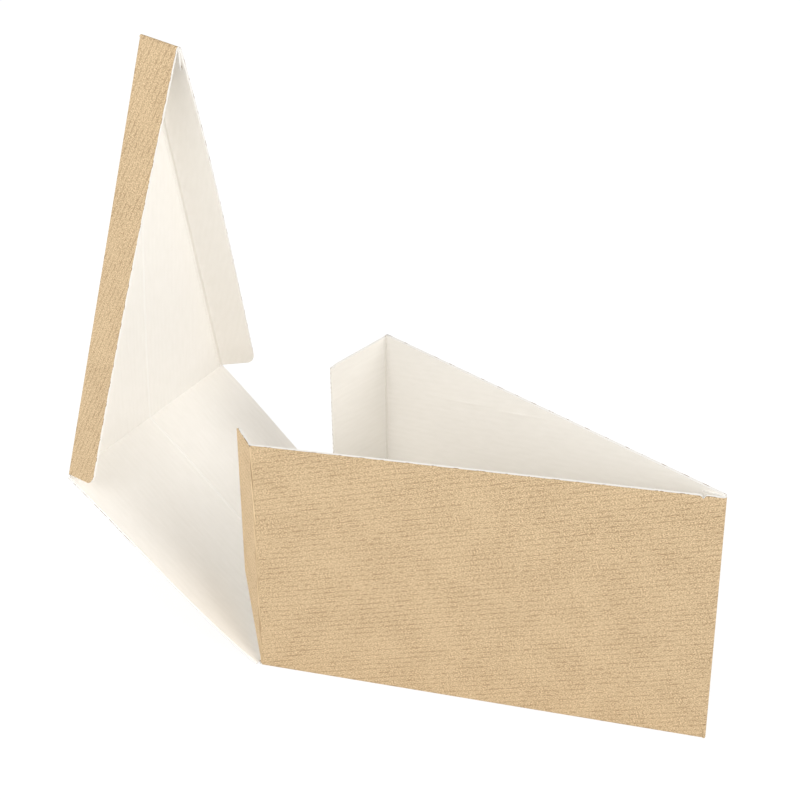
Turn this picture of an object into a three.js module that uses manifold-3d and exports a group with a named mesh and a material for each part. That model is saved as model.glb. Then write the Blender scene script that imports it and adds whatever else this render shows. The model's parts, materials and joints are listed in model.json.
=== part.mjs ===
// Cake slice box of thin corrugated board, standing open: a wedge-shaped tray whose back panel is laid down
// and carries the upright lid, with a dust flap on the back edge of each side wall.
// Millimetres, +Z up. +X runs along the centre line to the nose of the tray, and the near wall is on -Y.
// The part's origin is on the underside of the floor, ORIGIN_FROM_BACK in front of the back crease.

import * as THREE from 'three';
import { mergeVertices } from 'three/addons/utils/BufferGeometryUtils.js';
import Module from 'manifold-3d';

const wasm = await Module();
wasm.setup();

// Board and creases
const BOARD = 0.8;
const FOLD_RADIUS = 0.6; // of the board's middle layer round a folded crease
const BEAD_HEIGHT = 0.15; // the ridge that a crease raises on the inner face
const BEAD_HALF_WIDTH = 0.65;
const HINGE_RADIUS = 0.5; // rounded edge on which a flap turns
const HINGE_GAP = 0.3; // between that edge and the flap
const ORIGIN_FROM_BACK = 43;

// Tray, outside sizes
const TRAY_WIDTH = 74; // across the back
const TRAY_LENGTH = 129; // back crease to nose
const WALL_HEIGHT_BACK = 80;
const WALL_HEIGHT_NOSE = 82.5;
const WALL_SETBACK = 1.2; // of the walls' back edges in front of the back crease
const BACK_LEAN = 3.5; // the walls' back edges lean forward by this much at the top
const GLUE_TAB_LENGTH = 6.8;
const GLUE_TAB_SHORTER = 1.5; // at its top and at its bottom
const NICK_FROM_NOSE = 5; // small die nick in the near wall's top edge
const NICK_SIZE = 0.9;

// Dust flaps
const FLAP_WIDTH = 19.4;
const FLAP_TOP_DROP = 15.9; // degrees, the top edge falls parallel to the board's flutes
const FLAP_CORNER = 2; // width of the cut-off top corner
const FLAP_CORNER_DROP = 1.2;
const FLAP_BOTTOM_START = 2.5;
const FLAP_BOTTOM_RISE = 45; // degrees
const NEAR_FLAP_SPREAD = 48; // degrees behind straight across the back
const FAR_FLAP_SPREAD = 30;

// Back panel and lid
const PANEL_HEIGHT = 81.2; // between its two hinges
const PANEL_ANGLE = 143.7; // degrees from the floor's forward direction
const PANEL_BOW = 3.8; // the opened panel bulges outwards, most a third of the way up
const PANEL_BOW_TO_FAR = 0.6; // more at the far edge and less at the near one
const PANEL_BOW_FALL = 1.4; // less at both edges than at the centre crease
const LID_WIDTH = 77;
const LID_LENGTH = 131; // hinge to nose
const LID_ANGLE = 82.1; // degrees from the floor's forward direction
const SKIRT_DEPTH = 13;
const NEAR_SKIRT_SPLAY = 18; // degrees, at the hinge end; the glued nose holds the skirts square
const FAR_SKIRT_SPLAY = 24;
const LID_CREASE_BOW = 1.6; // outwards, halfway along the lid's centre crease
const SKIRT_END_SLOPE = 0.2;
const SKIRT_CORNER_RADIUS = 4;
const LID_TAB_LENGTH = 7.5;

const rad = THREE.MathUtils.degToRad;
const vec = (x, y, z) => new THREE.Vector3(x, y, z);

// A geometry as a solid that can be joined and cut.
function solid(geometry) {
  const bare = geometry.clone();
  bare.deleteAttribute('normal');
  bare.deleteAttribute('uv');
  const merged = mergeVertices(bare, 1e-4);
  return new wasm.Manifold(
    new wasm.Mesh({
      numProp: 3,
      vertProperties: new Float32Array(merged.attributes.position.array),
      triVerts: new Uint32Array(merged.index.array),
    }),
  );
}

function join(...pieces) {
  return pieces.reduce((whole, piece) => whole.add(piece));
}

function meshOf(name, shape, material) {
  const made = shape.getMesh();
  const places = new Float32Array(made.numVert * 3);
  for (let i = 0; i < made.numVert; i += 1) {
    for (let k = 0; k < 3; k += 1) {
      places[3 * i + k] = made.vertProperties[made.numProp * i + k];
    }
  }
  const geometry = new THREE.BufferGeometry();
  geometry.setAttribute('position', new THREE.BufferAttribute(places, 3));
  geometry.setIndex(new THREE.BufferAttribute(new Uint32Array(made.triVerts), 1));
  geometry.computeVertexNormals();
  const mesh = new THREE.Mesh(geometry, material);
  mesh.name = name;
  return mesh;
}

// A folded sheet: a box of one layer, bent so that its width follows the stations. A station gives, for each
// share of the sheet's length, the point of the middle layer and how far the inner face rises and the outer
// face sinks in there. The inner face lies on the side of length x station order.
function foldedSheet(stations, steps) {
  const across = stations.length - 1;
  const geometry = new THREE.BoxGeometry(1, 1, 1, steps, across, 1);
  const middle = (i, j) => stations[j](i / steps).point.clone();
  const inward = (i, j) => {
    const along = middle(Math.min(i + 1, steps), j).sub(middle(Math.max(i - 1, 0), j));
    const over = middle(i, Math.min(j + 1, across)).sub(middle(i, Math.max(j - 1, 0)));
    return along.cross(over).normalize();
  };
  const places = geometry.attributes.position;
  for (let n = 0; n < places.count; n += 1) {
    const i = Math.round((places.getX(n) + 0.5) * steps);
    const j = Math.round((places.getY(n) + 0.5) * across);
    const { raise, sink } = stations[j](i / steps);
    const offset = places.getZ(n) > 0 ? BOARD / 2 + raise : sink - BOARD / 2;
    const place = middle(i, j).addScaledVector(inward(i, j), offset);
    places.setXYZ(n, place.x, place.y, place.z);
  }
  return solid(geometry);
}

// Ridge pair of a crease: distance across it, as a share of its half width, and height.
const beadShape = [
  [-1, 0],
  [-0.5, 1],
  [0, 0.45],
  [0.5, 1],
  [1, 0],
];

// Half of a channel's section, from the middle of its web to the free edge of its side, as points with y,
// depth and raise. The ridges beside the fold stand on the web and on the side. sideShares are the side's
// own points, as shares of its length.
function channelHalf(halfWidth, sideLength, splay, sideShares) {
  const flat = halfWidth - FOLD_RADIUS;
  const crowd = Math.min(1, flat / (5 * BEAD_HALF_WIDTH));
  const bead = BEAD_HALF_WIDTH * crowd;
  const half = [];
  beadShape.slice(2).forEach(([share, height]) => {
    half.push({ y: share * bead, depth: 0, raise: height * BEAD_HEIGHT * crowd, web: true });
  });
  half.push({ y: flat - 1.6 * bead, depth: 0, raise: 0, web: true });
  half.push({ y: flat - 0.8 * bead, depth: 0, raise: BEAD_HEIGHT * crowd, web: true });
  const turn = rad(90 - splay);
  const foldSteps = 5;
  for (let k = 0; k <= foldSteps; k += 1) {
    const angle = (turn * k) / foldSteps;
    half.push({
      y: flat + FOLD_RADIUS * Math.sin(angle),
      depth: FOLD_RADIUS * (1 - Math.cos(angle)),
      raise: 0,
      web: k === 0,
    });
  }
  const foot = half.at(-1);
  const sideAt = (length, raise) => {
    half.push({
      y: foot.y + length * Math.cos(turn),
      depth: foot.depth + length * Math.sin(turn),
      length: foot.depth + length,
      raise,
    });
  };
  const first = 1.6 * BEAD_HALF_WIDTH;
  const last = sideLength - foot.depth;
  sideAt(first / 2, BEAD_HEIGHT);
  sideAt(first, 0);
  sideShares.forEach((share) => sideAt(first + (last - first) * share, 0));
  return half;
}

// The stations of a tapering channel. sectionAt(along, side) gives half of its section, startOf(point) where
// the channel begins at that point of the section, and place(along, y, depth) puts a point in space. The web's
// centre crease sinks a groove into the outer face, as a share webGroove of its ridges' height.
function channel(sectionAt, startOf, endAlong, place, webGroove) {
  const half = (side) =>
    sectionAt(0, side).map((first, n) => (share) => {
      const along = THREE.MathUtils.lerp(startOf(first), endAlong, share);
      const { y, depth, raise } = sectionAt(along, side)[n];
      const inCrease = first.web && first.y < BEAD_HALF_WIDTH;
      return { point: place(along, side * y, depth), raise, sink: inCrease ? webGroove * raise : 0 };
    });
  return [...half(-1).reverse(), ...half(1).slice(1)];
}

// Round bar between two points: the rounded edge of a hinge or of a nose.
function bar(from, to, radius, segments) {
  const way = to.clone().sub(from);
  const geometry = new THREE.CylinderGeometry(radius, radius, way.length(), segments);
  const turn = new THREE.Quaternion().setFromUnitVectors(vec(0, 1, 0), way.clone().normalize());
  const place = new THREE.Matrix4().compose(from.clone().lerp(to, 0.5), turn, vec(1, 1, 1));
  return solid(geometry.applyMatrix4(place));
}

// Flat board cut to an outline, with along and up as the outline's directions from a corner point.
function flatBoard(outline, corner, along, up, thickness = BOARD) {
  const cut = { depth: thickness, bevelEnabled: false, curveSegments: 6 };
  const geometry = new THREE.ExtrudeGeometry(outline, cut);
  const out = along.clone().cross(up).normalize();
  const place = new THREE.Matrix4().makeBasis(along, out.clone().cross(along), out);
  place.setPosition(corner.clone().addScaledVector(out, -thickness / 2));
  return solid(geometry.applyMatrix4(place));
}

// Places on the tray
const noseHalfWidth = FOLD_RADIUS + 0.12; // of the middle layer, where the two walls nearly meet
const noseRadius = noseHalfWidth + BOARD / 2 + 0.08;
const noseInset = 0.05; // of the rounded nose from the board's cut edges
const trayNose = TRAY_LENGTH - noseRadius;
const floorMiddle = BOARD / 2;
const hingeHeight = HINGE_RADIUS;
const backEdgeX = (height) => WALL_SETBACK + (BACK_LEAN * height) / WALL_HEIGHT_BACK;
const trayHalfWidth = (TRAY_WIDTH - BOARD) / 2;

function trayPlace(along, y, depth) {
  return vec(along, y, floorMiddle + depth);
}

function traySheet() {
  const wallShares = [0.33, 0.66, 1];
  const wallLength = (along) =>
    THREE.MathUtils.lerp(WALL_HEIGHT_BACK, WALL_HEIGHT_NOSE, along / trayNose) - floorMiddle;
  const sectionAt = (along) => channelHalf(wallMiddleAt(along), wallLength(along), 0, wallShares);
  const startOf = ({ web, depth }) => (web ? 0 : backEdgeX(depth) * Math.min(1, depth / FOLD_RADIUS));
  return foldedSheet(channel(sectionAt, startOf, trayNose, trayPlace, 0), 6);
}

function wallMiddleAt(along) {
  return THREE.MathUtils.lerp(trayHalfWidth, noseHalfWidth, along / trayNose);
}

// The line on which a dust flap turns: the back edge of a wall.
function flapAxis(side, height) {
  return vec(backEdgeX(height), side * wallMiddleAt(backEdgeX(height)), height);
}

function gluedTab(foot, head, along, length, offset, inward) {
  const height = head.distanceTo(foot);
  const outline = new THREE.Shape();
  outline.moveTo(0, 0);
  outline.lineTo(length, GLUE_TAB_SHORTER);
  outline.lineTo(length, height - GLUE_TAB_SHORTER);
  outline.lineTo(0, height);
  outline.closePath();
  const up = head.clone().sub(foot).normalize();
  return flatBoard(outline, foot.clone().addScaledVector(inward, offset), along, up);
}

function makeTray() {
  const foot = vec(trayNose, 0, noseInset);
  const head = vec(trayNose, 0, WALL_HEIGHT_NOSE - noseInset);
  const nose = bar(foot, head, noseRadius, 24);
  const farBack = vec(0, trayHalfWidth, 0);
  const farNose = vec(trayNose, noseHalfWidth, 0);
  const toBack = farBack.clone().sub(farNose).normalize();
  const inward = vec(toBack.y, -toBack.x, 0).negate();
  const tab = gluedTab(
    farNose.clone().add(vec(0, 0, GLUE_TAB_SHORTER)),
    farNose.clone().add(vec(0, 0, WALL_HEIGHT_NOSE - GLUE_TAB_SHORTER)),
    toBack,
    GLUE_TAB_LENGTH,
    BOARD - 0.03,
    inward,
  );
  const hingeEnd = trayHalfWidth - 1;
  const backHinge = bar(vec(0, -hingeEnd, hingeHeight), vec(0, hingeEnd, hingeHeight), HINGE_RADIUS, 16);
  const wallHinges = [-1, 1].map((side) =>
    bar(flapAxis(side, 1.5), flapAxis(side, WALL_HEIGHT_BACK - 0.3), HINGE_RADIUS, 16),
  );
  return join(traySheet(), nose, tab, backHinge, ...wallHinges).subtract(nick());
}

// A small V cut into the near wall's top edge by the die.
function nick() {
  const outline = new THREE.Shape();
  outline.moveTo(-NICK_SIZE / 2, NICK_SIZE);
  outline.lineTo(0, -NICK_SIZE / 2);
  outline.lineTo(NICK_SIZE / 2, NICK_SIZE);
  outline.closePath();
  const at = trayNose - NICK_FROM_NOSE;
  const top = WALL_HEIGHT_NOSE - ((WALL_HEIGHT_NOSE - WALL_HEIGHT_BACK) * NICK_FROM_NOSE) / trayNose;
  const along = vec(trayNose, trayHalfWidth - noseHalfWidth, 0).normalize();
  return flatBoard(outline, vec(at, -wallMiddleAt(at), top), along, vec(0, 0, 1), 2 * BOARD);
}

function makeDustFlap(side, spread) {
  const low = flapAxis(side, 0);
  const up = flapAxis(side, WALL_HEIGHT_BACK).sub(low).normalize();
  const across = vec(-Math.sin(rad(spread)), -side * Math.cos(rad(spread)), 0);
  across.addScaledVector(up, -across.dot(up)).normalize();
  const height = WALL_HEIGHT_BACK - 0.3;
  const near = HINGE_RADIUS + HINGE_GAP;
  const drop = Math.tan(rad(FLAP_TOP_DROP));
  const rise = Math.tan(rad(FLAP_BOTTOM_RISE));
  const cornerAt = FLAP_WIDTH - FLAP_CORNER;
  const outline = new THREE.Shape();
  outline.moveTo(near, FLAP_BOTTOM_START + near * rise);
  outline.lineTo(FLAP_WIDTH - 1, FLAP_BOTTOM_START + (FLAP_WIDTH - 1) * rise);
  outline.quadraticCurveTo(
    FLAP_WIDTH,
    FLAP_BOTTOM_START + FLAP_WIDTH * rise,
    FLAP_WIDTH,
    FLAP_BOTTOM_START + FLAP_WIDTH * rise + 1,
  );
  outline.lineTo(FLAP_WIDTH, height - cornerAt * drop - FLAP_CORNER_DROP);
  outline.lineTo(cornerAt, height - cornerAt * drop);
  outline.lineTo(near, height - near * drop);
  outline.closePath();
  return flatBoard(outline, low, across, up);
}

// Directions in the box's middle plane, measured from +X up towards +Z
const direction = (degrees) => vec(Math.cos(rad(degrees)), 0, Math.sin(rad(degrees)));
const innerNormal = (degrees) => vec(Math.sin(rad(degrees)), 0, -Math.cos(rad(degrees)));
const backAxis = vec(0, 0, hingeHeight);
const lidAxis = backAxis.clone().addScaledVector(direction(PANEL_ANGLE), PANEL_HEIGHT);

// How far the back panel bulges outwards, at a share of its height and of its half width.
function panelBow(up, across) {
  const most = PANEL_BOW + PANEL_BOW_TO_FAR * across - PANEL_BOW_FALL * across ** 2;
  return (27 / 4) * most * up * (1 - up) ** 2;
}

function makeBackPanel() {
  const near = HINGE_RADIUS + HINGE_GAP;
  const up = direction(PANEL_ANGLE);
  const outward = innerNormal(PANEL_ANGLE).negate();
  const halfAt = (along) => THREE.MathUtils.lerp(TRAY_WIDTH, LID_WIDTH, along / PANEL_HEIGHT) / 2;
  const place = (along, y) =>
    backAxis
      .clone()
      .addScaledVector(up, along)
      .addScaledVector(outward, panelBow(along / PANEL_HEIGHT, y / halfAt(along)))
      .add(vec(0, y, 0));
  const station = (yAt, height) => (share) => {
    const along = THREE.MathUtils.lerp(near, PANEL_HEIGHT, share);
    const raise = height * BEAD_HEIGHT;
    return { point: place(along, yAt(along)), raise, sink: raise };
  };
  const flatShares = [0.25, 0.5, 0.75, 1];
  const flat = (share) => station((along) => share * halfAt(along), 0);
  const stations = [
    ...flatShares.map((share) => flat(-share)).reverse(),
    ...beadShape.map(([share, height]) => station(() => share * BEAD_HALF_WIDTH, height)),
    ...flatShares.map(flat),
  ];
  const hingeEnd = LID_WIDTH / 2 - 1;
  const lidHinge = bar(
    lidAxis.clone().add(vec(0, -hingeEnd, 0)),
    lidAxis.clone().add(vec(0, hingeEnd, 0)),
    HINGE_RADIUS,
    16,
  );
  return join(foldedSheet(stations, 12), lidHinge);
}

function makeLid() {
  const lengthwise = direction(LID_ANGLE);
  const inward = innerNormal(LID_ANGLE);
  const lidNose = LID_LENGTH - noseRadius;
  const middleHalf = (LID_WIDTH - BOARD) / 2;
  const start = HINGE_RADIUS + HINGE_GAP;
  const sideLength = SKIRT_DEPTH - BOARD / 2;
  const halfAt = (along) =>
    THREE.MathUtils.lerp(middleHalf, noseHalfWidth, (along - start) / (lidNose - start));
  // A skirt swings square to its own crease, so what lies outside the crease shifts back along the lid.
  const taper = (middleHalf - noseHalfWidth) / (lidNose - start);
  const place = (along, y, depth) => {
    const onWeb = Math.max(0, 1 - Math.abs(y) / halfAt(along));
    const outside = Math.max(0, Math.abs(y) - halfAt(along));
    const bow = 4 * LID_CREASE_BOW * (along / lidNose) * (1 - along / lidNose) * onWeb;
    return lidAxis
      .clone()
      .addScaledVector(lengthwise, along - taper * outside)
      .addScaledVector(inward, depth - bow)
      .add(vec(0, y, 0));
  };
  const skirtShares = [0.35, 0.7, 0.8, 0.88, 0.94, 0.98, 1];
  const sectionAt = (along, side) => {
    const splay = (side < 0 ? NEAR_SKIRT_SPLAY : FAR_SKIRT_SPLAY) * (1 - (along / lidNose) ** 2);
    return channelHalf(halfAt(along), sideLength, splay, skirtShares);
  };
  const startOf = ({ web, depth, length = depth }) => {
    const intoCorner = Math.max(0, length - (sideLength - SKIRT_CORNER_RADIUS));
    const rounding = SKIRT_CORNER_RADIUS - Math.sqrt(SKIRT_CORNER_RADIUS ** 2 - intoCorner ** 2);
    return start + (web ? 0 : SKIRT_END_SLOPE * length + rounding);
  };
  const sheet = foldedSheet(channel(sectionAt, startOf, lidNose, place, 1), 16);
  const noseTop = place(lidNose, 0, noseInset - BOARD / 2);
  const nose = bar(noseTop, place(lidNose, 0, sideLength - noseInset), noseRadius, 24);
  const foot = place(lidNose, noseHalfWidth, 0);
  const toBack = place(start, middleHalf, 0).sub(foot).normalize();
  const tabInward = inward.clone().cross(toBack);
  const tabHead = place(lidNose, noseHalfWidth, sideLength);
  const tab = gluedTab(foot, tabHead, toBack, LID_TAB_LENGTH, BOARD - 0.03, tabInward);
  return join(sheet, nose, tab);
}

const kraftBoard = (tint) => new THREE.MeshStandardMaterial({ color: tint, roughness: 0.9, metalness: 0 });

const box = new THREE.Group();
box.position.x = -ORIGIN_FROM_BACK;
box.add(meshOf('tray', makeTray(), kraftBoard(0xdec49a)));
box.add(meshOf('near_dust_flap', makeDustFlap(-1, NEAR_FLAP_SPREAD), kraftBoard(0xd9be93)));
box.add(meshOf('far_dust_flap', makeDustFlap(1, FAR_FLAP_SPREAD), kraftBoard(0xf6f2e9)));
box.add(meshOf('back_panel', makeBackPanel(), kraftBoard(0xf0eae2)));
box.add(meshOf('lid', makeLid(), kraftBoard(0xf3eeea)));

const part = new THREE.Group();
part.add(box);

export default part;
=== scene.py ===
import json
from math import atan2, ceil, cos, exp, pi, radians, sin, tan

import bmesh
import bpy
from mathutils import Matrix, Vector


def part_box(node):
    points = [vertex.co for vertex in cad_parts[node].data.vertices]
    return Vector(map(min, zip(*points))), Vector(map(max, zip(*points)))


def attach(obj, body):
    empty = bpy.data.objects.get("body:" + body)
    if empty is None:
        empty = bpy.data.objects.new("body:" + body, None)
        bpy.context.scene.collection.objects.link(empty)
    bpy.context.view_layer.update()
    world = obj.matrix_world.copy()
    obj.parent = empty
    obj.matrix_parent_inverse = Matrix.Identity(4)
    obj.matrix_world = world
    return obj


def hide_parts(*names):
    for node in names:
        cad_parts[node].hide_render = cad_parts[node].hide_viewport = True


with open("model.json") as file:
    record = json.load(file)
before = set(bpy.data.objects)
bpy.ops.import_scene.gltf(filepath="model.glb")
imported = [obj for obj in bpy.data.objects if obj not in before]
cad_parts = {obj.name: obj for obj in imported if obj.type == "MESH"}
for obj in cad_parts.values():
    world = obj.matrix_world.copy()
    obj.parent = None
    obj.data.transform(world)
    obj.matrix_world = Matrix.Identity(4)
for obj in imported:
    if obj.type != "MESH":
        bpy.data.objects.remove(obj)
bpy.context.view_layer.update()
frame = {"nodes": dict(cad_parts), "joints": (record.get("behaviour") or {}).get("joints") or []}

mm = 0.001
joints = {joint["name"]: joint for joint in frame["joints"]}
print("frame loaded:", ", ".join(sorted(frame["nodes"])))

# The box is one blank of fine-flute board: kraft liner outside, white liner inside, flutes along the blank's
# centre line. Each panel is cut flat in the blank's own plane, in millimetres: x along the flutes, w across
# them, z through the board from the kraft side to the white side. Then it is thickened, creased and folded.
board = {
    "thickness": 0.8,
    "flutePitch": 1.68,
    "foldRadius": 0.6,          # of the middle layer, round a folded crease
    "ridgeHeight": 0.22,        # a crease stands up as two ridges on the white side
    "ridgeWide": 0.17,
    "ridgeOff": 0.33,           # from the middle of a flat crease
    "foldRidgeOff": 0.52,       # from where a folded crease starts or ends
    "hingeRidgeOff": 0.5,       # from the side of a hinge crease
    "longHingeRidge": 1 / 3,    # of a ridge's height, along the two long hinges
    "crowdedAt": 1.2,           # from the centre line, where the ridges have run out
    "freeAt": 4.2,              # and where they stand at full height
    "hingeRadius": 0.5,         # of the crushed crease that a flap turns on
    "hiddenEnd": 0.25,          # of a panel, inside that crease
    "hingeSides": 24,           # of the bar that stands for it
    "cell": 4.0,                # of the mesh, before the creases are scored
    "curvedCell": 3.0,          # of the panels that bow
    "foldSteps": 8,             # round a fold
    "foldCuts": 6,              # on each side of a fold, to carry its ridges
    "centreCuts": 5,            # on each side of the centre crease
    "hingeCuts": 7,             # beside a hinge crease
    "snap": 1e-4,               # of a cut to what it meets
    "mirrorWeld": 1e-3,
    "weld": 2e-3,
}
half = board["thickness"] / 2
radius = board["foldRadius"]
foldEnd = radius * (pi / 2 - 1)         # a square fold starts at -radius from its line and ends here
foldLoss = radius * (2 - pi / 2)        # a wall's height is its length from the fold line plus this

# Camera, from the photograph's view
camera = {
    "azimuth": 32.825,
    "elevation": 31.401,
    "roll": -2.467,
    "target": (-0.04995, 0.05947, 0.04),
    "distance": 0.51585,
    "lens": 68.99,
    "sensor": 36.0,
    "clip": 0.01,
}


def placeCamera():
    azimuth, elevation, roll = (radians(camera[key]) for key in ("azimuth", "elevation", "roll"))
    back = Vector((sin(azimuth) * cos(elevation), -cos(azimuth) * cos(elevation), sin(elevation)))
    right = (-back).cross(Vector((0, 0, 1))).normalized()
    up = right.cross(-back)
    across = right * cos(roll) + up * sin(roll)
    upright = up * cos(roll) - right * sin(roll)
    data = bpy.data.cameras.new("camera")
    data.lens = camera["lens"]
    data.sensor_width = camera["sensor"]
    data.sensor_fit = "HORIZONTAL"
    data.clip_start = camera["clip"]
    eye = bpy.data.objects.new("camera", data)
    turn = Matrix((across, upright, back)).transposed().to_4x4()
    eye.matrix_world = Matrix.Translation(Vector(camera["target"]) + back * camera["distance"]) @ turn
    bpy.context.scene.collection.objects.link(eye)
    bpy.context.scene.camera = eye


# Materials

def linear(hexColour):
    parts = [int(hexColour[k:k + 2], 16) / 255 for k in (1, 3, 5)]
    return [p / 12.92 if p <= 0.04045 else ((p + 0.055) / 1.055) ** 2.4 for p in parts] + [1.0]


def addNode(tree, kind, inputs=None, out=0, **settings):
    # Each input is a value or another node's output. Gives back one output of the new node
    node = tree.nodes.new("ShaderNode" + kind)
    for key, value in settings.items():
        setattr(node, key, value)
    for key, value in (inputs or {}).items():
        if isinstance(value, bpy.types.NodeSocket):
            tree.links.new(value, node.inputs[key])
        else:
            node.inputs[key].default_value = value
    return node.outputs[out] if len(node.outputs) else None


def newMaterial(name):
    material = bpy.data.materials.new(name)
    material.use_nodes = True
    material.node_tree.nodes.clear()
    return material, material.node_tree


def finishMaterial(tree, look, colour, height):
    # A plain matt surface, with a height in the look's own millimetres
    bump = addNode(
        tree, "Bump", {"Strength": look["bumpShare"], "Distance": look["bump"] * mm, "Height": height}
    )
    skin = addNode(tree, "BsdfPrincipled", {
        "Base Color": colour,
        "Roughness": look["roughness"],
        "IOR": 1.5,
        "Specular IOR Level": look["specular"],
        "Normal": bump,
    })
    addNode(tree, "OutputMaterial", {"Surface": skin})


uvPerMm = 0.01      # the UV map holds each place on the blank at this scale


def blankPlace(tree, stretch=1.0):
    # Millimetres along and across the flutes, with a pattern on it drawn out along them
    return addNode(tree, "Mapping", {
        "Vector": addNode(tree, "UVMap", uv_map="blank"),
        "Scale": (1 / uvPerMm / stretch, 1 / uvPerMm, 1),
    })


def fluteLines(tree, place, wander):
    # One light and one dark line for each flute. The wave node counts 20 radians to a unit
    return addNode(
        tree,
        "TexWave",
        {
            "Vector": place,
            "Scale": 2 * pi / (20 * board["flutePitch"]),
            "Distortion": wander,
            "Detail": 2.0,
            "Detail Scale": 0.35,
        },
        out="Fac",
        wave_type="BANDS",
        bands_direction="Y",
        wave_profile="SIN",
    )


kraft = {
    "base": "#caad88",
    "dark": "#876c4b",      # between the flutes and in the coarse fibres
    "pale": "#e6cda6",
    "grain": 0.3,           # mm, of the fibre clumps that show
    "grainStretch": 1.5,
    "fleck": 0.6,           # mm across, where the lines between the flutes break up
    "fleckStretch": 3.2,
    "cloudsPerMm": 0.09,
    "clumpRange": (0.36, 0.62),     # of each pattern, from where it starts to where it is full
    "fleckRange": (0.42, 0.62),
    "cloudRange": (0.35, 0.65),
    "betweenFlutes": 0.35,
    "baseShare": 0.14,
    "lineShare": 0.62,
    "cloudShare": 0.14,
    "wander": 1.4,
    "fluteHeight": 0.35,    # of the flutes against the grain, in the bump
    "bump": 0.06,
    "bumpShare": 0.5,
    "roughness": 0.86,
    "specular": 0.25,
}


def kraftLiner():
    # Unbleached kraft paper, machine finished: matt, with fibre clumps and broken dark lines at the flutes
    material, tree = newMaterial("kraftLiner")
    place = blankPlace(tree)
    dark, pale, base = (linear(kraft[key]) for key in ("dark", "pale", "base"))
    grain = addNode(tree, "TexNoise", {
        "Vector": blankPlace(tree, kraft["grainStretch"]),
        "Scale": 1 / kraft["grain"],
        "Detail": 3.0,
        "Roughness": 0.7,
    })
    fleck = addNode(tree, "TexNoise", {
        "Vector": blankPlace(tree, kraft["fleckStretch"]),
        "Scale": 1 / kraft["fleck"],
        "Detail": 2.0,
        "Roughness": 0.6,
    })
    cloud = addNode(tree, "TexNoise", {"Vector": place, "Scale": kraft["cloudsPerMm"], "Detail": 2.0})
    flutes = fluteLines(tree, place, kraft["wander"])

    # Map Range's sockets 0 to 4 are the value, where it runs from and to, and what that becomes. Mix's 0, 6
    # and 7 are the share of the second colour, the first and the second
    between = addNode(tree, "MapRange", {0: flutes, 1: 0.0, 2: kraft["betweenFlutes"], 3: 1.0, 4: 0.0})
    low, high = kraft["fleckRange"]
    broken = addNode(tree, "MapRange", {0: fleck, 1: low, 2: high, 3: 0.0, 4: 1.0})
    lines = addNode(tree, "Math", {0: between, 1: broken}, operation="MULTIPLY")
    low, high = kraft["clumpRange"]
    clumps = addNode(tree, "MapRange", {0: grain, 1: low, 2: high, 3: 0.0, 4: 1.0})
    lined = addNode(tree, "Math", {0: lines, 1: kraft["lineShare"]}, operation="MULTIPLY")
    low, high = kraft["cloudRange"]
    clouded = addNode(tree, "MapRange", {0: cloud, 1: low, 2: high, 3: 0.0, 4: kraft["cloudShare"]})
    colour = addNode(tree, "Mix", {0: clumps, 6: dark, 7: pale}, out=2, data_type="RGBA")
    colour = addNode(tree, "Mix", {0: kraft["baseShare"], 6: colour, 7: base}, out=2, data_type="RGBA")
    colour = addNode(tree, "Mix", {0: lined, 6: colour, 7: dark}, out=2, data_type="RGBA")
    colour = addNode(tree, "Mix", {0: clouded, 6: colour, 7: pale}, out=2, data_type="RGBA")
    share = kraft["fluteHeight"]
    height = addNode(tree, "Math", {0: flutes, 1: share, 2: grain}, operation="MULTIPLY_ADD")
    finishMaterial(tree, kraft, colour, height)
    return material


white = {
    "base": "#f9f5ee",
    "shade": "#f3efe7",
    "crease": "#fffdf8",    # painted highlight along the blank's centre crease, for the light on its raised ridges
    "creaseHighlightHalf": (0.2, 0.6),
    "creaseHighlightShare": 0.45,
    "grain": 1.3,           # mm across, of the soft unevenness
    "grainStretch": 4.0,
    "grainRange": (0.3, 0.7),
    "grainShare": 0.6,
    "fluteShare": 0.16,
    "wander": 1.0,
    "fluteHeight": 0.5,
    "bump": 0.035,
    "bumpShare": 0.1,
    "roughness": 0.78,
    "specular": 0.3,
}


def whiteLiner():
    # White-topped paper: matt and smooth, the flutes just readable as soft lines
    material, tree = newMaterial("whiteLiner")
    place = blankPlace(tree)
    base, shade, crease = (linear(white[key]) for key in ("base", "shade", "crease"))
    grain = addNode(tree, "TexNoise", {
        "Vector": blankPlace(tree, white["grainStretch"]),
        "Scale": 1 / white["grain"],
        "Detail": 3.0,
        "Roughness": 0.6,
    })
    flutes = fluteLines(tree, place, white["wander"])

    low, high = white["grainRange"]
    uneven = addNode(tree, "MapRange", {0: grain, 1: low, 2: high, 3: 0.0, 4: white["grainShare"]})
    soft = addNode(tree, "Math", {0: flutes, 1: white["fluteShare"], 2: uneven}, operation="MULTIPLY_ADD")
    # A painted highlight along the blank's centre crease, for the light on its raised ridges
    off = addNode(tree, "Math", {0: addNode(tree, "SeparateXYZ", {0: place}, out=1)}, operation="ABSOLUTE")
    inner, outer = white["creaseHighlightHalf"]
    creased = addNode(tree, "MapRange", {0: off, 1: inner, 2: outer, 3: white["creaseHighlightShare"], 4: 0.0})
    colour = addNode(tree, "Mix", {0: soft, 6: base, 7: shade}, out=2, data_type="RGBA")
    colour = addNode(tree, "Mix", {0: creased, 6: colour, 7: crease}, out=2, data_type="RGBA")
    share = white["fluteHeight"]
    height = addNode(tree, "Math", {0: flutes, 1: share, 2: grain}, operation="MULTIPLY_ADD")
    finishMaterial(tree, white, colour, height)
    return material


edge = {
    "white": "#f1eee8",
    # the kraft liner's cut, and the kraft inside the open flutes darkened as painted shade
    "gap": "#8f7048",
    "line": 0.08,           # of the thickness: the thin line of kraft that always shows
    "dash": 0.3,            # and how far in it comes at an open flute
    "softness": 0.1,
    "fluteRange": (0.2, 0.7),
    "tornRange": (0.42, 0.55),
    "breaksPerMm": 0.7,
    "bump": 0.1,
    "bumpShare": 0.5,
    "roughness": 0.9,
    "specular": 0.2,
}


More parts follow.
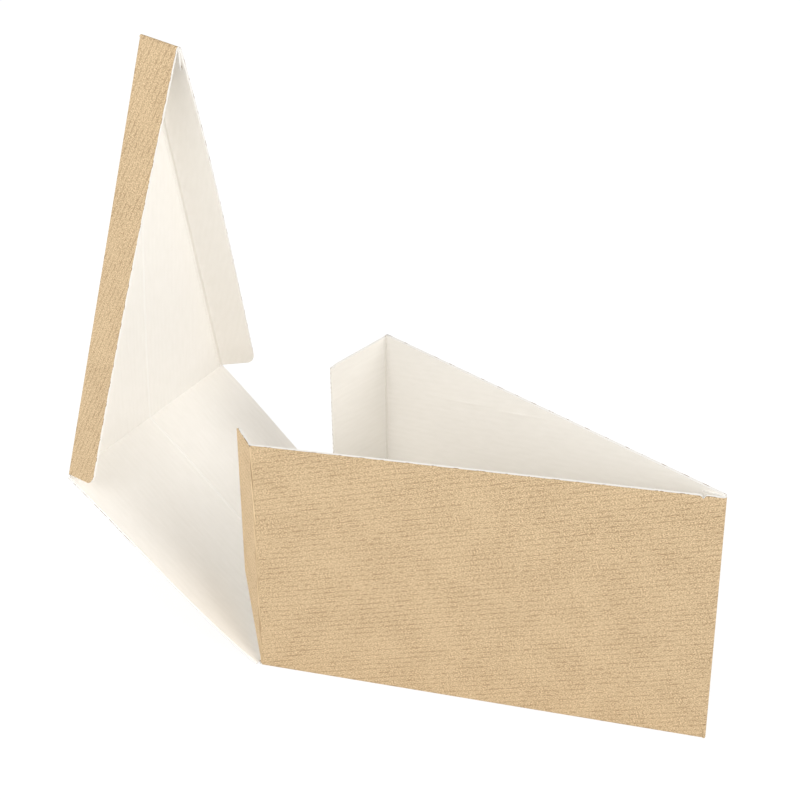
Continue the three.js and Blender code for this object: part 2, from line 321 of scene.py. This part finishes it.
def cutEdge():
    # Die-cut edge: pale, with a thin line of kraft along the liner that widens into dashes where the cut
    # crosses the open flutes. The dashes are the kraft inside the open flutes, darkened as painted shade
    material, tree = newMaterial("cutEdge")
    place = blankPlace(tree)
    ply = addNode(tree, "Attribute", out="Fac", attribute_name="ply")
    across = addNode(tree, "SeparateXYZ", {0: place}, out=1)
    turn = addNode(tree, "Math", {0: across, 1: 2 * pi / board["flutePitch"]}, operation="MULTIPLY")
    wave = addNode(tree, "Math", {0: turn}, operation="SINE")
    torn = addNode(tree, "TexNoise", {"Vector": place, "Scale": edge["breaksPerMm"], "Detail": 2.0})

    low, high = edge["fluteRange"]
    flute = addNode(tree, "MapRange", {0: wave, 1: low, 2: high, 3: 0.0, 4: 1.0})
    low, high = edge["tornRange"]
    broken = addNode(tree, "MapRange", {0: torn, 1: low, 2: high, 3: 0.0, 4: 1.0})
    dash = addNode(tree, "Math", {0: flute, 1: broken}, operation="MULTIPLY")
    reach = addNode(tree, "MapRange", {0: dash, 1: 0.0, 2: 1.0, 3: edge["line"], 4: edge["dash"]})
    within = addNode(tree, "Math", {0: reach, 1: ply}, operation="SUBTRACT")
    # Kraft where the cut meets the liner and the open flutes, darkened in the flutes as painted shade
    gap = addNode(tree, "MapRange", {0: within, 1: 0.0, 2: edge["softness"], 3: 0.0, 4: 1.0})
    pale, kraftAndFluteShade = linear(edge["white"]), linear(edge["gap"])
    colour = addNode(tree, "Mix", {0: gap, 6: pale, 7: kraftAndFluteShade}, out=2, data_type="RGBA")
    finishMaterial(tree, edge, colour, gap)
    return material


kraftSlot, whiteSlot, edgeSlot = 0, 1, 2
liners = [kraftLiner(), whiteLiner(), cutEdge()]
print("materials:", ", ".join(material.name for material in liners))


# Flat cutting

def cutLine(bm, point, normal, clear=False, faces=None):
    # Cuts the sheet, or some of its faces, along a line, and can clear what lies on the normal's side
    if faces:
        lines = {line for face in faces for line in face.edges}
        sheet = [*{vert for face in faces for vert in face.verts}, *lines, *faces]
    else:
        sheet = bm.verts[:] + bm.edges[:] + bm.faces[:]
    bmesh.ops.bisect_plane(
        bm,
        geom=sheet,
        dist=board["snap"],
        plane_co=(*point, 0),
        plane_no=(*normal, 0),
        clear_outer=clear,
    )


def cutPanel(corners, cell=board["cell"]):
    # A grid of board cut to a convex outline, given anticlockwise
    lows = [min(corner[k] for corner in corners) for k in (0, 1)]
    sizes = [max(corner[k] for corner in corners) - lows[k] for k in (0, 1)]
    bm = bmesh.new()
    middle = Matrix.Translation((lows[0] + sizes[0] / 2, lows[1] + sizes[1] / 2, 0))
    bmesh.ops.create_grid(
        bm,
        x_segments=ceil(sizes[0] / cell),
        y_segments=ceil(sizes[1] / cell),
        size=0.5,
        matrix=middle @ Matrix.Diagonal((*sizes, 1, 1)),
    )
    for corner, after in zip(corners, corners[1:] + corners[:1]):
        run = (after[0] - corner[0], after[1] - corner[1])
        cutLine(bm, corner, (run[1], -run[0]), clear=True)
    return bm


def roundCorner(bm, corner, before, after, size, steps=6):
    # Cuts a convex corner to an arc, by lines that touch it. before and after are the corners beside it
    normals = []
    for start, end in ((before, corner), (corner, after)):
        run = Vector((end[0] - start[0], end[1] - start[1])).normalized()
        normals.append(Vector((run.y, -run.x)))
    middle = Vector(corner) - size * (normals[0] + normals[1]) / (1 + normals[0].dot(normals[1]))
    for step in range(1, steps):
        normal = normals[0].slerp(normals[1], step / steps)
        cutLine(bm, middle + normal * size, normal, clear=True)


def cutAway(bm, lines, near=None, reach=0.0):
    # Takes out what lies outside every one of these lines. Cuts only near a place, if one is given
    for point, normal in lines:
        faces = None
        if reach:
            faces = [face for face in bm.faces if (face.calc_center_median().xy - near).length < reach]
        cutLine(bm, point, normal, faces=faces)
    gone = []
    for face in bm.faces:
        place = face.calc_center_median().xy
        if all((place - Vector(point)).dot(Vector(normal)) > 0 for point, normal in lines):
            gone.append(face)
    bmesh.ops.delete(bm, geom=gone, context="FACES")


def mirrorHalf(bm):
    sheet = bm.verts[:] + bm.edges[:] + bm.faces[:]
    bmesh.ops.mirror(bm, geom=sheet, merge_dist=board["mirrorWeld"], axis="Y")


def thicken(bm):
    bmesh.ops.remove_doubles(bm, verts=bm.verts, dist=board["weld"])
    made = bmesh.ops.extrude_face_region(bm, geom=bm.faces[:])["geom"]
    top = [part for part in made if isinstance(part, bmesh.types.BMVert)]
    bmesh.ops.translate(bm, verts=top, vec=(0, 0, board["thickness"]))
    bmesh.ops.translate(bm, verts=bm.verts, vec=(0, 0, -half))
    bmesh.ops.recalc_face_normals(bm, faces=bm.faces)


def markPlies(bm, blank=lambda x, w: (x, w)):
    # Notes each place on the blank and through the board, and which faces are liner and which are cut edge
    uv = bm.loops.layers.uv.new("blank")
    ply = bm.verts.layers.float.new("ply")
    for vert in bm.verts:
        vert[ply] = vert.co.z / board["thickness"] + 0.5
    for face in bm.faces:
        face.normal_update()
        up = face.normal.z
        face.material_index = whiteSlot if up > 0.5 else kraftSlot if up < -0.5 else edgeSlot
        face.smooth = True
        for loop in face.loops:
            x, w = blank(loop.vert.co.x, loop.vert.co.y)
            loop[uv].uv = (x * uvPerMm, w * uvPerMm)
    for line in bm.edges:
        line.smooth = len({face.material_index for face in line.link_faces}) == 1


# Creasing and folding

def ridge(distance, off=board["ridgeOff"]):
    return board["ridgeHeight"] * exp(-(((abs(distance) - off) / board["ridgeWide"]) ** 2))


def scoreCentre(bm):
    # Cuts to carry the ridges beside the centre crease, on the half that is mirrored later
    for k in range(board["centreCuts"]):
        cutLine(bm, (0, board["ridgeWide"] * (k + 1)), (0, 1))


def scoreHinge(bm, head=None):
    # Cuts to carry the ridge beside a hinge crease across the panel's foot, and one across its head
    for k in range(board["hingeCuts"]):
        off = board["hingeRadius"] + board["ridgeWide"] * (k + 1)
        cutLine(bm, (off, 0), (1, 0))
        if head:
            cutLine(bm, (head - off, 0), (1, 0))


def raiseRidges(bm, height):
    ply = bm.verts.layers.float["ply"]
    for vert in bm.verts:
        if vert[ply] > 0.5:
            vert.co.z += height(vert.co.x, vert.co.y)


def foldUp(bm, place):
    for vert in bm.verts:
        vert.co = place(vert.co.x, vert.co.y, vert.co.z)
    bmesh.ops.recalc_face_normals(bm, faces=bm.faces)


def addBar(bm, start, end, inside):
    # The crushed crease that a flap turns on: white on the inner side, kraft outside
    way = end - start
    turn = way.to_track_quat("Z", "Y").to_matrix().to_4x4()
    made = bmesh.ops.create_cone(
        bm,
        cap_ends=True,
        segments=board["hingeSides"],
        radius1=board["hingeRadius"],
        radius2=board["hingeRadius"],
        depth=way.length,
        matrix=Matrix.Translation((start + end) / 2) @ turn,
    )
    uv = bm.loops.layers.uv.verify()
    for face in {face for vert in made["verts"] for face in vert.link_faces}:
        face.normal_update()
        capped = abs(face.normal.dot(way.normalized())) > 0.9
        side = whiteSlot if face.normal.dot(inside) > 0 else kraftSlot
        face.material_index = edgeSlot if capped else side
        face.smooth = not capped
        for loop in face.loops:
            loop[uv].uv = (loop.vert.co.x * uvPerMm, loop.vert.co.y * uvPerMm)


def newBars():
    bars = bmesh.new()
    bars.loops.layers.uv.new("blank")
    return bars


def joinParts(parts):
    whole = newBars()
    whole.verts.layers.float.new("ply")
    for part in parts:
        data = bpy.data.meshes.new("part")
        part.to_mesh(data)
        part.free()
        whole.from_mesh(data)
        bpy.data.meshes.remove(data)
    return whole


def makePiece(name, bm, node):
    bmesh.ops.triangulate(bm, faces=[face for face in bm.faces if len(face.verts) > 4])
    bmesh.ops.scale(bm, verts=bm.verts, vec=(mm, mm, mm))
    data = bpy.data.meshes.new(name)
    bm.to_mesh(data)
    bm.free()
    piece = bpy.data.objects.new(name, data)
    for material in liners:
        data.materials.append(material)
    bpy.context.scene.collection.objects.link(piece)
    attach(piece, node)
    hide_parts(node)
    print(name, "faces:", len(data.polygons))


class Channel:
    # A tapering channel folded up from the blank: the tray, and the lid with its skirts. Side coordinates are
    # l along the fold from the wide end, and d away from it

    def __init__(self, wide, nose, splay):
        # wide is half the floor's width at the wide end. At nose that half is down to tray["noseHalf"]
        self.wide, self.splay = wide, splay
        self.lean = atan2(wide - tray["noseHalf"], nose)
        self.noseTurn = pi - 2 * self.lean
        # The nose fold joins both walls, with room for the tab between it and the far one
        reach = (2 * tray["tabRadius"] + tray["tabOff"]) / (2 * cos(self.lean))
        middle = nose + (tray["noseHalf"] - reach) / tan(self.lean)
        self.length = (middle + tray["tabRadius"] * sin(self.lean)) / cos(self.lean)

    def toBlank(self, l, d):
        return l * cos(self.lean) + d * sin(self.lean), self.wide - l * sin(self.lean) + d * cos(self.lean)

    def toSide(self, x, w):
        w -= self.wide
        return x * cos(self.lean) - w * sin(self.lean), x * sin(self.lean) + w * cos(self.lean)

    def noseOnCentre(self):
        return self.toBlank(self.length, (self.length * sin(self.lean) - self.wide) / cos(self.lean))

    def halfAt(self, x):
        return self.wide - x * tan(self.lean)

    def lifted(self, d, z, splay):
        # How far out from the fold line, and how deep, a place on a folded wall comes to lie
        turn = pi / 2 - radians(splay)
        run = d + radius
        bend = min(run / radius, turn)
        rest = max(0.0, run - radius * turn)
        out = -radius + (radius - z) * sin(bend) + rest * cos(turn)
        return out, radius - (radius - z) * cos(bend) + rest * sin(turn)

    def place(self, x, w, z):
        side = -1 if w < 0 else 1
        l, d = self.toSide(x, abs(w))
        if d <= -radius:
            return x, w, z
        out, depth = self.lifted(d, z, self.splay(l, side))
        x, w = self.toBlank(l, out)
        return x, side * w, depth

    def placeTab(self, x, w, z):
        # The near wall's tab goes on round the nose fold and back along the far wall
        l, d = self.toSide(x, w)
        out, depth = self.lifted(d, z, 0)
        bendRadius = tray["tabRadius"]
        past = l - self.length
        if past > 0:
            bend = min(past / bendRadius, self.noseTurn)
            rest = max(0.0, past - bendRadius * self.noseTurn)
            l = self.length + (bendRadius - z) * sin(bend) + rest * cos(self.noseTurn)
            out = -bendRadius + (bendRadius - z) * cos(bend) - rest * sin(self.noseTurn)
        x, w = self.toBlank(l, out)
        return x, -w, depth

    def score(self, bm, splay):
        # Cuts along the fold to bend it by, and to carry its ridges. splay is the wall's usual one
        end = -radius + radius * (pi / 2 - radians(splay))
        beside = [board["ridgeWide"] * (k + 1) for k in range(board["foldCuts"])]
        steps = board["foldSteps"]
        bends = [-radius + (end + radius) * k / steps for k in range(steps + 1)]
        for d in [-radius - off for off in beside] + bends + [end + off for off in beside]:
            cutLine(bm, self.toBlank(0, d), (sin(self.lean), cos(self.lean)))
        scoreCentre(bm)

    def ridges(self, x, w):
        d = self.toSide(x, abs(w))[1]
        room = (self.halfAt(x) - board["crowdedAt"]) / (board["freeAt"] - board["crowdedAt"])
        room = max(0.0, min(1.0, room))
        beside = max(-radius - d, d - foldEnd, 0.0)
        return ridge(beside, board["foldRidgeOff"]) * (room if d < 0 else 1) + room * ridge(w)

    def openEnd(self, bm, foot, head):
        # Cuts the wall free of the floor's back edge, along a line from its foot to its head
        cutAway(bm, [
            (foot, (foot[1] - head[1], head[0] - foot[0])),
            (self.toBlank(0, -radius / 2), (sin(self.lean), cos(self.lean))),
        ])


# Tray
tray = {
    "width": 74.0,
    "wallBack": 80.0,
    "wallNose": 82.5,
    "setback": 1.2,         # of the walls' back edges from the back crease
    "backLean": 3.5,
    "noseHalf": 0.72,
    "noseRound": 0.08,      # by which the nose stands past its two liners
    "tabLength": 6.8,
    "tabShorter": 1.5,      # than the wall, at its top and bottom
    "tabFoot": -0.2,        # from the fold line, where the tab starts
    "tabRadius": 0.42,
    "tabOff": 0.5,          # between the glued layers' middles, pressed together
    "nick": 0.9,
    "nickFromNose": 5.0,
    "nickSpread": 0.85,     # half its width, for its depth
    "nickReach": 8.0,
    # Two faint wrinkles in the far wall's liner, along the flutes: start and end in x, and w
    "wrinkles": [(46.0, 68.0, 93.0), (71.0, 88.0, 92.2)],
    "wrinkleHeight": 0.11,
    "wrinkleWide": 0.35,
    "wrinkleCuts": (3, 0.7),        # on each side, and how far apart in that width
    "creaseShort": 1.4,     # of the hinge crease, at each end
    "flapCrease": (1.2, 0.3),       # how far the flaps' creases stop from the floor and the wall's top
    "flapCreaseTurn": 0.3,          # of their white side, towards the nose
}
backCrease = Vector(joints["back_panel_hinge"]["pos_m"]) / mm
noseInset = tray["noseHalf"] + half + tray["noseRound"]
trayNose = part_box("tray")[1].x / mm - backCrease.x - noseInset
walls = Channel((tray["width"] - board["thickness"]) / 2, trayNose, lambda l, side: 0.0)


def wallTop(l):
    height = tray["wallBack"] + (tray["wallNose"] - tray["wallBack"]) * l / walls.length
    return height - half - foldLoss


def seatTray(x, y, depth):
    return Vector((x + backCrease.x, y, depth + half))


def glueTab(channel, top, length, shorter):
    # The tab beyond the nose fold, as a convex panel of its own
    foot = tray["tabFoot"]
    start = channel.length
    turned = start + tray["tabRadius"] * channel.noseTurn
    end = turned + length
    outline = [
        (start, foot),
        (turned, foot),
        (end, foot + shorter),
        (end, top - shorter),
        (turned, top),
        (start, top),
    ]
    bm = cutPanel([channel.toBlank(l, d) for l, d in outline])
    for k in range(board["foldSteps"]):
        at = start + (turned - start) * (k + 1) / board["foldSteps"]
        cutLine(bm, channel.toBlank(at, 0), (cos(channel.lean), -sin(channel.lean)))
    thicken(bm)
    markPlies(bm, lambda x, w: (x, -w))
    return bm


def wrinkled(x, w):
    height = 0
    for start, end, off in tray["wrinkles"]:
        share = (x - start) / (end - start)
        if 0 < share < 1:
            across = (w - off) / tray["wrinkleWide"]
            height += tray["wrinkleHeight"] * sin(pi * share) * exp(-across * across)
    return height


def cutNick(bm):
    # A small V cut by the die into the near wall's top edge
    at = walls.length - tray["nickFromNose"]
    x, w = walls.toBlank(at, wallTop(at) - tray["nick"])
    point = Vector((x, -w))
    along = Vector((cos(walls.lean), sin(walls.lean)))
    outward = Vector((sin(walls.lean), -cos(walls.lean)))
    lines = [(point, outward * tray["nickSpread"] + along * way) for way in (-1, 1)]
    cutAway(bm, lines, point, tray["nickReach"])


def makeTray():
    hidden = board["hiddenEnd"]
    back = tray["setback"] / cos(walls.lean)
    backTop = (tray["setback"] + tray["backLean"]) / cos(walls.lean)
    head = walls.toBlank(backTop, wallTop(backTop))
    tip = walls.toBlank(walls.length, wallTop(walls.length))
    bm = cutPanel([(hidden, 0), walls.noseOnCentre(), tip, head, (hidden, walls.wide)])
    walls.score(bm, 0)
    walls.openEnd(bm, walls.toBlank(back, 0), head)
    mirrorHalf(bm)
    cutNick(bm)
    cuts, apart = tray["wrinkleCuts"]
    for start, end, off in tray["wrinkles"]:
        for k in range(-cuts, cuts + 1):
            cutLine(bm, (0, off + k * tray["wrinkleWide"] * apart), (0, 1))
    thicken(bm)
    markPlies(bm)
    raiseRidges(bm, lambda x, w: walls.ridges(x, w) + wrinkled(x, w))
    foldUp(bm, lambda x, w, z: seatTray(*walls.place(x, w, z)))

    tab = glueTab(walls, wallTop(walls.length), tray["tabLength"], tray["tabShorter"])
    foldUp(tab, lambda x, w, z: seatTray(*walls.placeTab(x, w, z)))

    bars = newBars()
    reach = Vector((0, tray["width"] / 2 - tray["creaseShort"], 0))
    addBar(bars, backCrease - reach, backCrease + reach, Vector((0, 0, 1)) - panelOut)
    for name, side in (("near_flap_hinge", -1), ("far_flap_hinge", 1)):
        foot = Vector(joints[name]["pos_m"]) / mm
        axis = Vector(joints[name]["axis"]).normalized()
        low, high = tray["flapCrease"]
        inner = Vector((tray["flapCreaseTurn"], -side, 0))
        addBar(bars, foot + axis * low, foot + axis * (tray["wallBack"] - high), inner)
    makePiece("tray_board", joinParts([bm, tab, bars]), "tray")


# Dust flaps
flap = {
    "width": 19.4,
    "topDrop": 15.9,        # degrees, parallel to the flutes
    "topShort": 0.3,        # of the wall's top
    "corner": 2.0,
    "cornerDrop": 1.2,
    "bottomStart": 2.5,
    "bottomRise": 45.0,
    "bottomRound": 1.5,
    "nearSpread": 48.0,
    "farSpread": 30.0,
}


def makeFlap(name, hinge, side, spread):
    foot = Vector(joints[hinge]["pos_m"]) / mm
    up = Vector(joints[hinge]["axis"]).normalized()
    across = Vector((-sin(radians(spread)), -side * cos(radians(spread)), 0))
    across = (across - up * across.dot(up)).normalized()
    inward = up.cross(across)
    if inward.x < 0:
        inward.negate()
    start, width, cornerAt = board["hiddenEnd"], flap["width"], flap["width"] - flap["corner"]
    drop, rising = tan(radians(flap["topDrop"])), tan(radians(flap["bottomRise"]))
    height = tray["wallBack"] - flap["topShort"]
    corners = [
        (start, flap["bottomStart"] + start * rising),
        (width, flap["bottomStart"] + width * rising),
        (width, height - cornerAt * drop - flap["cornerDrop"]),
        (cornerAt, height - cornerAt * drop),
        (start, height - start * drop),
    ]
    bm = cutPanel(corners)
    roundCorner(bm, corners[1], corners[0], corners[2], flap["bottomRound"])
    scoreHinge(bm)
    thicken(bm)
    lean = walls.lean
    markPlies(bm, lambda a, h: (a * cos(lean) - h * sin(lean), side * (a * sin(lean) + h * cos(lean))))
    raiseRidges(bm, lambda a, h: ridge(a - board["hingeRadius"], board["hingeRidgeOff"]))
    foldUp(bm, lambda a, h, z: foot + across * a + up * h + inward * z)
    makePiece(name + "_board", bm, name)


# Back panel
panel = {
    "topWidth": 77.0,
    "bow": 3.8,             # it bulges outwards, most a third of the way up
    "bowToFar": 0.6,
    "bowFall": 1.4,         # less at both edges than at the centre crease
    "creaseShort": 1.2,     # of the lid's hinge crease, at each end
}
lidCrease = Vector(joints["lid_hinge"]["pos_m"]) / mm
panelHeight = (lidCrease - backCrease).length
panelUp = (lidCrease - backCrease).normalized()
panelOut = Vector((-panelUp.z, 0, panelUp.x))


def panelHalf(up):
    return (tray["width"] + (panel["topWidth"] - tray["width"]) * up / panelHeight) / 2


def panelMiddle(up, y):
    share, off = up / panelHeight, y / panelHalf(up)
    most = panel["bow"] + panel["bowToFar"] * off - panel["bowFall"] * off ** 2
    # share * (1 - share) ** 2 is 4/27 at its most, a third of the way up
    bow = 27 / 4 * most * share * (1 - share) ** 2
    return backCrease + panelUp * up + panelOut * bow + Vector((0, y, 0))


def panelPlace(up, y, z):
    step = 0.05
    rising = panelMiddle(up + step, y) - panelMiddle(up - step, y)
    across = panelMiddle(up, y + step) - panelMiddle(up, y - step)
    inward = rising.cross(across).normalized()
    if inward.dot(panelOut) > 0:
        inward.negate()
    return panelMiddle(up, y) + inward * z


def panelRidges(up, w):
    fromHinge = min(up, panelHeight - up) - board["hingeRadius"]
    return ridge(w) + ridge(fromHinge, board["hingeRidgeOff"]) * board["longHingeRidge"]


def makeBackPanel():
    start, end = board["hiddenEnd"], panelHeight - board["hiddenEnd"]
    corners = [(start, 0), (end, 0), (end, panelHalf(end)), (start, panelHalf(start))]
    bm = cutPanel(corners, board["curvedCell"])
    scoreCentre(bm)
    scoreHinge(bm, panelHeight)
    mirrorHalf(bm)
    thicken(bm)
    markPlies(bm, lambda up, w: (-up, w))
    raiseRidges(bm, panelRidges)
    foldUp(bm, panelPlace)

    bars = newBars()
    reach = Vector((0, panel["topWidth"] / 2 - panel["creaseShort"], 0))
    addBar(bars, lidCrease - reach, lidCrease + reach, lidIn - panelOut)
    makePiece("back_panel_board", joinParts([bm, bars]), "back_panel")


# Lid
lid = {
    "angle": 82.1,          # degrees from the floor's forward direction
    "width": 77.0,
    "length": 131.0,
    "skirt": 13.0,
    "nearSplay": 18.0,      # degrees, at the hinge end
    "farSplay": 24.0,
    "usualSplay": 14.0,
    "endSlope": 0.2,        # of the skirts' ends
    "cornerRadius": 4.0,
    "creaseBow": 1.6,
    "tabLength": 7.5,
    "tabShorter": 0.8,
    "gap": 0.8,             # from the hinge to the skirts' ends
}
lidAlong = Vector((cos(radians(lid["angle"])), 0, sin(radians(lid["angle"]))))
lidIn = Vector((lidAlong.z, 0, -lidAlong.x))
lidNose = lid["length"] - noseInset


def skirtSplay(l, side):
    most = lid["nearSplay"] if side < 0 else lid["farSplay"]
    return most * max(0.0, 1 - (l * cos(skirts.lean) / lidNose) ** 2)


skirts = Channel((lid["width"] - board["thickness"]) / 2, lidNose, skirtSplay)


def seatLid(x, y, depth):
    # The centre crease bows outwards, and the lid with it as far as its folds
    share = x / lidNose
    fromFold = max(0.0, 1 - abs(y) / skirts.halfAt(x)) if share < 1 else 0.0
    bow = 4 * lid["creaseBow"] * share * (1 - share) * fromFold
    return lidCrease + lidAlong * x + lidIn * (depth - bow) + Vector((0, y, 0))


def lidRidges(x, w):
    hinge = ridge(x - board["hingeRadius"], board["hingeRidgeOff"]) * board["longHingeRidge"]
    return skirts.ridges(x, w) + hinge


def makeLid():
    start = board["hiddenEnd"]
    deep = lid["skirt"] - half - foldLoss
    back = lid["gap"] / cos(skirts.lean)
    corners = [
        (start, 0),
        skirts.noseOnCentre(),
        skirts.toBlank(skirts.length, deep),
        skirts.toBlank(back + lid["endSlope"] * deep, deep),
        (start, skirts.wide),
    ]
    bm = cutPanel(corners, board["curvedCell"])
    roundCorner(bm, corners[3], corners[2], corners[4], lid["cornerRadius"])
    skirts.score(bm, lid["usualSplay"])
    scoreHinge(bm)
    skirts.openEnd(bm, skirts.toBlank(back, 0), corners[3])
    mirrorHalf(bm)
    thicken(bm)
    markPlies(bm, lambda x, w: (-panelHeight - x, w))
    raiseRidges(bm, lidRidges)
    foldUp(bm, lambda x, w, z: seatLid(*skirts.place(x, w, z)))

    tab = glueTab(skirts, deep, lid["tabLength"], lid["tabShorter"])
    foldUp(tab, lambda x, w, z: seatLid(*skirts.placeTab(x, w, z)))
    makePiece("lid_board", joinParts([bm, tab]), "lid")


placeCamera()
makeTray()
makeFlap("near_dust_flap", "near_flap_hinge", -1, flap["nearSpread"])
makeFlap("far_dust_flap", "far_flap_hinge", 1, flap["farSpread"])
makeBackPanel()
makeLid()


# Studio: a white floor that keeps a faint shadow, a white surround and three soft lamps
studio = {
    "floorSize": 6.0,
    "floor": "#fbfbfb",
    "floorWhite": 1.08,
    "floorGlow": 0.8,       # share of the floor's white that no shadow reaches
    "world": 0.6,
    "aim": (-0.02, 0, 0.05),
    "lamps": [              # name, place, size and power
        ("right", (2.0, -0.3, 1.1), 1.2, 21.5),
        ("front", (0.3, -1.6, 1.6), 1.2, 11.0),
        ("left", (-1.0, -0.8, 0.5), 1.2, 7.5),
    ],
}


def seenDirectly(tree, unseen, seen):
    # One value for what the camera, a mirror or glass sees, and another for what lights the box
    rays = addNode(tree, "LightPath").node.outputs
    direct = addNode(tree, "Math", {0: rays["Is Camera Ray"], 1: rays["Is Glossy Ray"]}, operation="MAXIMUM")
    direct = addNode(tree, "Math", {0: direct, 1: rays["Is Transmission Ray"]}, operation="MAXIMUM")
    return addNode(tree, "MapRange", {0: direct, 1: 0.0, 2: 1.0, 3: unseen, 4: seen})


def makeSurround():
    world = bpy.data.worlds.new("studio")
    bpy.context.scene.world = world
    world.use_nodes = True
    tree = world.node_tree
    tree.nodes.clear()
    strength = seenDirectly(tree, studio["world"], 1.0)
    glow = addNode(tree, "Background", {"Color": (1, 1, 1, 1), "Strength": strength})
    addNode(tree, "OutputWorld", {"Surface": glow})


def makeFloor():
    bm = bmesh.new()
    bmesh.ops.create_grid(bm, x_segments=1, y_segments=1, size=studio["floorSize"] / 2)
    data = bpy.data.meshes.new("floor")
    bm.to_mesh(data)
    bm.free()
    floor = bpy.data.objects.new("floor", data)
    bpy.context.scene.collection.objects.link(floor)
    # Matt white paint, lit from within for the camera so that it stays white round the shadow
    material, tree = newMaterial("mattWhitePaint")
    matt = addNode(tree, "BsdfDiffuse", {"Color": linear(studio["floor"])})
    glow = addNode(tree, "Emission", {"Color": (1, 1, 1, 1), "Strength": studio["floorWhite"]})
    share = seenDirectly(tree, 0.0, studio["floorGlow"])
    addNode(tree, "OutputMaterial", {"Surface": addNode(tree, "MixShader", {0: share, 1: matt, 2: glow})})
    data.materials.append(material)


def makeLamps():
    for name, place, size, power in studio["lamps"]:
        lamp = bpy.data.lights.new(name, "AREA")
        lamp.shape = "DISK"
        lamp.size = size
        lamp.energy = power
        holder = bpy.data.objects.new(name, lamp)
        way = Vector(studio["aim"]) - Vector(place)
        turn = way.to_track_quat("-Z", "Y").to_matrix().to_4x4()
        holder.matrix_world = Matrix.Translation(place) @ turn
        bpy.context.scene.collection.objects.link(holder)


makeSurround()
makeFloor()
makeLamps()
bpy.context.scene.view_settings.view_transform = "Standard"
print("studio lit")
